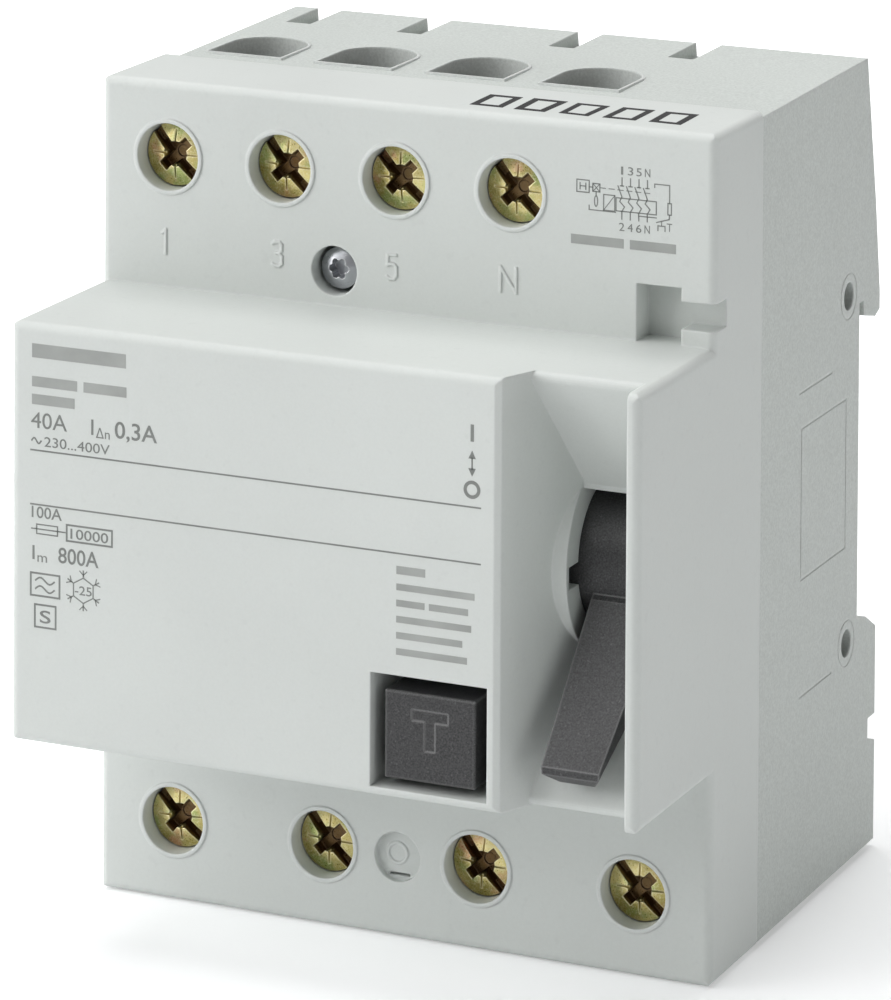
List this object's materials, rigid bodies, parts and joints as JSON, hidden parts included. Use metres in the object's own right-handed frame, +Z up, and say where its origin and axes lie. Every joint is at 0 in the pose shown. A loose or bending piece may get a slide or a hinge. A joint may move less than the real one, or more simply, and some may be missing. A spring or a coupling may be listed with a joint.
{
  "type": "residual current device",
  "caption": "Four-pole residual current switch for a DIN rail with a toggle lever, a test button, clamp terminals, contact rotor, summation transformer and trip relay.",
  "frame": {"origin": "centre of the seat face on the rail, at mid width and at the rail's centre line", "axes": "+X to the right seen from the front, +Y from front to rear, +Z up"},
  "size_m": [0.072, 0.0709, 0.09],
  "materials": {
    "housing_plastic": "fine eroded light grey",
    "dark_plastic": "charcoal with a fine speckle",
    "yellow_zinc": "yellow passivated zinc",
    "steel": "bright zinc-plated steel",
    "copper": "bare copper",
    "winding_wire": "enamelled wire",
    "contact_silver": "silver alloy",
    "resistor_body": "lacquered",
    "wire_cover": "extruded insulation",
    "board": "solder mask over laminate",
    "sleeve": "shrink sleeve"
  },
  "bodies": {
    "case": {"front_cover": "housing_plastic", "rear_housing": "housing_plastic", "cover_screw": "steel", "rail_slider_spring": "steel", "line_bars": "copper", "load_bars": "copper", "fixed_contact_tips": "contact_silver", "arc_splitter_plates": "steel", "transformer_core": "steel", "transformer_case": "dark_plastic", "secondary_winding": "winding_wire", "primary_conductors": "copper", "relay_case": "dark_plastic", "relay_yoke": "steel", "relay_coil": "winding_wire", "relay_magnet": "steel", "relay_spring": "steel", "trip_lever_pin": "steel", "mechanism_plate": "steel", "latch_pin": "steel", "lever_axle": "steel", "lever_spring": "steel", "test_spring": "steel", "test_contact": "yellow_zinc", "test_resistor": "resistor_body", "test_wires": "wire_cover", "delay_board": "board", "delay_capacitor": "sleeve"},
    "slider": {"rail_slider": "housing_plastic"},
    "rotor": {"contact_rotor": "dark_plastic", "rotor_crank": "steel", "moving_contact_arms": "copper", "moving_contact_tips": "contact_silver", "rotor_axle": "steel", "contact_springs": "steel"},
    "plunger": {"relay_plunger": "steel"},
    "trip": {"trip_lever": "dark_plastic"},
    "pawl": {"latch_pawl": "steel"},
    "lever": {"toggle_lever": "dark_plastic"},
    "link": {"coupling_link": "steel"},
    "button": {"test_button": "dark_plastic"},
    "screw_1": {"terminal_screw_1": "yellow_zinc"},
    "cage_1": {"clamp_cage_1": "steel"},
    "screw_3": {"terminal_screw_3": "yellow_zinc"},
    "cage_3": {"clamp_cage_3": "steel"},
    "screw_5": {"terminal_screw_5": "yellow_zinc"},
    "cage_5": {"clamp_cage_5": "steel"},
    "screw_n_line": {"terminal_screw_n_line": "yellow_zinc"},
    "cage_n_line": {"clamp_cage_n_line": "steel"},
    "screw_2": {"terminal_screw_2": "yellow_zinc"},
    "cage_2": {"clamp_cage_2": "steel"},
    "screw_4": {"terminal_screw_4": "yellow_zinc"},
    "cage_4": {"clamp_cage_4": "steel"},
    "screw_6": {"terminal_screw_6": "yellow_zinc"},
    "cage_6": {"clamp_cage_6": "steel"},
    "screw_n_load": {"terminal_screw_n_load": "yellow_zinc"},
    "cage_n_load": {"clamp_cage_n_load": "steel"}
  },
  "joints": [
    {"name": "lever_swing", "type": "hinge", "parent": "case", "child": "lever", "pos_m": [0.03, -0.047, 0.001], "axis": [-1, 0, 0], "range_deg": [0, 82], "deforming": ["lever_spring"]},
    {"name": "rotor_turn", "type": "hinge", "parent": "case", "child": "rotor", "pos_m": [0, -0.014, 0.014], "axis": [1, 0, 0], "range_deg": [0, 25.2]},
    {"name": "link_turn", "type": "hinge", "parent": "lever", "child": "link", "pos_m": [0.0212, -0.0485, -0.0016], "axis": [1, 0, 0], "range_deg": [0, 64.8]},
    {"name": "button_press", "type": "slide", "parent": "case", "child": "button", "axis": [0, 1, 0], "range_m": [0, 0.0025], "deforming": ["test_spring"]},
    {"name": "plunger_stroke", "type": "slide", "parent": "case", "child": "plunger", "axis": [1, 0, 0], "range_m": [0, 0.001], "deforming": ["relay_spring"]},
    {"name": "trip_lever_turn", "type": "hinge", "parent": "case", "child": "trip", "pos_m": [0.0162, -0.036, -0.003], "axis": [0, 0, 1], "range_deg": [0, 6.4]},
    {"name": "pawl_turn", "type": "hinge", "parent": "case", "child": "pawl", "pos_m": [0.0198, -0.032, -0.004], "axis": [-1, 0, 0], "range_deg": [0, 8.1]},
    {"name": "slider_release", "type": "slide", "parent": "case", "child": "slider", "axis": [0, 0, -1], "range_m": [0, 0.003], "deforming": ["rail_slider_spring"]},
    {"name": "screw_1_turn", "type": "hinge", "parent": "case", "child": "screw_1", "pos_m": [-0.02795, -0.041, 0.03675], "axis": [0, 1, 0], "range_deg": [0, 2881]},
    {"name": "cage_1_lift", "type": "slide", "parent": "case", "child": "cage_1", "axis": [0, -1, 0], "range_m": [0, 0.0064]},
    {"name": "screw_3_turn", "type": "hinge", "parent": "case", "child": "screw_3", "pos_m": [-0.0144, -0.041, 0.03675], "axis": [0, 1, 0], "range_deg": [0, 2881]},
    {"name": "cage_3_lift", "type": "slide", "parent": "case", "child": "cage_3", "axis": [0, -1, 0], "range_m": [0, 0.0064]},
    {"name": "screw_5_turn", "type": "hinge", "parent": "case", "child": "screw_5", "pos_m": [-0.00085, -0.041, 0.03675], "axis": [0, 1, 0], "range_deg": [0, 2881]},
    {"name": "cage_5_lift", "type": "slide", "parent": "case", "child": "cage_5", "axis": [0, -1, 0], "range_m": [0, 0.0064]},
    {"name": "screw_n_line_turn", "type": "hinge", "parent": "case", "child": "screw_n_line", "pos_m": [0.0127, -0.041, 0.03675], "axis": [0, 1, 0], "range_deg": [0, 2881]},
    {"name": "cage_n_line_lift", "type": "slide", "parent": "case", "child": "cage_n_line", "axis": [0, -1, 0], "range_m": [0, 0.0064]},
    {"name": "screw_2_turn", "type": "hinge", "parent": "case", "child": "screw_2", "pos_m": [-0.02705, -0.041, -0.0362], "axis": [0, 1, 0], "range_deg": [0, 2881]},
    {"name": "cage_2_lift", "type": "slide", "parent": "case", "child": "cage_2", "axis": [0, -1, 0], "range_m": [0, 0.0064]},
    {"name": "screw_4_turn", "type": "hinge", "parent": "case", "child": "screw_4", "pos_m": [-0.00895, -0.041, -0.0362], "axis": [0, 1, 0], "range_deg": [0, 2881]},
    {"name": "cage_4_lift", "type": "slide", "parent": "case", "child": "cage_4", "axis": [0, -1, 0], "range_m": [0, 0.0064]},
    {"name": "screw_6_turn", "type": "hinge", "parent": "case", "child": "screw_6", "pos_m": [0.00915, -0.041, -0.0362], "axis": [0, 1, 0], "range_deg": [0, 2881]},
    {"name": "cage_6_lift", "type": "slide", "parent": "case", "child": "cage_6", "axis": [0, -1, 0], "range_m": [0, 0.0064]},
    {"name": "screw_n_load_turn", "type": "hinge", "parent": "case", "child": "screw_n_load", "pos_m": [0.02725, -0.041, -0.0362], "axis": [0, 1, 0], "range_deg": [0, 2881]},
    {"name": "cage_n_load_lift", "type": "slide", "parent": "case", "child": "cage_n_load", "axis": [0, -1, 0], "range_m": [0, 0.0064]}
  ],
  "couplings": [
    {"joint": "rotor_turn", "follows": "lever_swing", "ratio": 0.30488},
    {"joint": "link_turn", "follows": "lever_swing", "ratio": 0.787},
    {"joint": "trip_lever_turn", "follows": "plunger_stroke", "rad_per_m": 111.1},
    {"joint": "pawl_turn", "follows": "plunger_stroke", "rad_per_m": 140},
    {"joint": "screw_1_turn", "follows": "cage_1_lift", "rad_per_m": 7854},
    {"joint": "screw_3_turn", "follows": "cage_3_lift", "rad_per_m": 7854},
    {"joint": "screw_5_turn", "follows": "cage_5_lift", "rad_per_m": 7854},
    {"joint": "screw_n_line_turn", "follows": "cage_n_line_lift", "rad_per_m": 7854},
    {"joint": "screw_2_turn", "follows": "cage_2_lift", "rad_per_m": 7854},
    {"joint": "screw_4_turn", "follows": "cage_4_lift", "rad_per_m": 7854},
    {"joint": "screw_6_turn", "follows": "cage_6_lift", "rad_per_m": 7854},
    {"joint": "screw_n_load_turn", "follows": "cage_n_load_lift", "rad_per_m": 7854}
  ]
}
